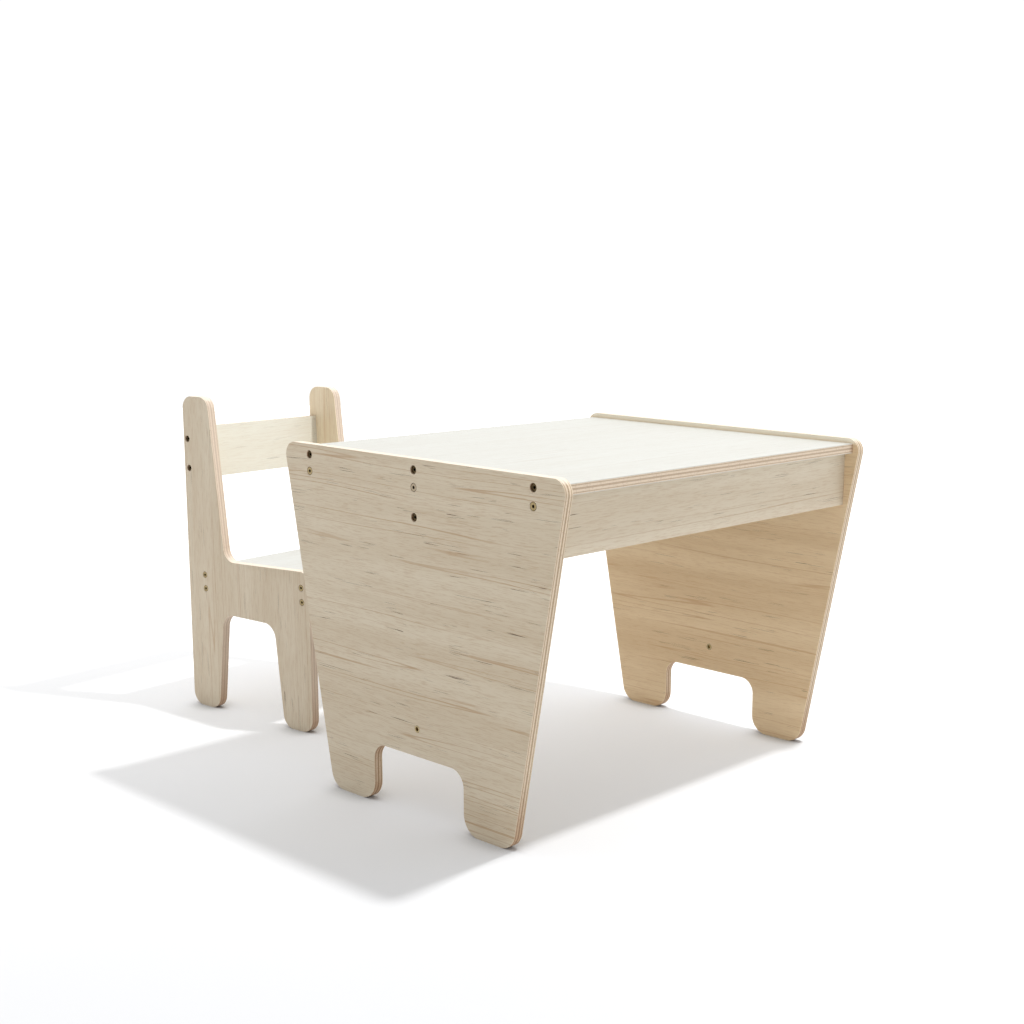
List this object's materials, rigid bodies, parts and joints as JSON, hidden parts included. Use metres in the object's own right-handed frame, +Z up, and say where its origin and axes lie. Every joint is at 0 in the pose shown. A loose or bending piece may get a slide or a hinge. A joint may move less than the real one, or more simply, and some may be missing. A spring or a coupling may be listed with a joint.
{
  "type": "kids table and chair",
  "caption": "Low child's table with tapered plywood side panels, with a matching small chair that slides in under it.",
  "frame": {"origin": "middle of the whole set's footprint, on the floor", "axes": "+X along the table's length, +Y from the table towards the chair, +Z up; the chair faces the table, turned 5.25 degrees"},
  "size_m": [0.68, 1.0556, 0.552],
  "materials": {
    "birch_plywood": "satin clear lacquer",
    "softwood": "planed, bare",
    "brass": "satin",
    "black_steel": "black oxide, satin",
    "zinc_steel": "zinc plated, satin"
  },
  "bodies": {
    "table": {"table_left_side": "birch_plywood", "table_right_side": "birch_plywood", "tabletop": "birch_plywood", "front_apron": "birch_plywood", "back_apron": "birch_plywood", "front_rail": "softwood", "back_rail": "softwood", "centre_rail": "birch_plywood", "tabletop_screws": "black_steel", "table_rail_screws": "brass", "centre_rail_upper_screws": "zinc_steel", "centre_rail_lower_screws": "black_steel", "apron_screws": "zinc_steel", "threaded_sleeves": "brass"},
    "chair": {"chair_left_side": "birch_plywood", "chair_right_side": "birch_plywood", "seat": "birch_plywood", "backrest": "birch_plywood", "seat_front_rail": "softwood", "seat_rear_rail": "softwood", "backrest_screws": "black_steel", "seat_screws": "brass", "seat_rail_screws": "brass"}
  },
  "joints": [
    {"name": "chair_slide", "type": "slide", "parent": "table", "child": "chair", "axis": [0.0915, -0.9958, 0], "range_m": [-0.25, 0.38]}
  ]
}
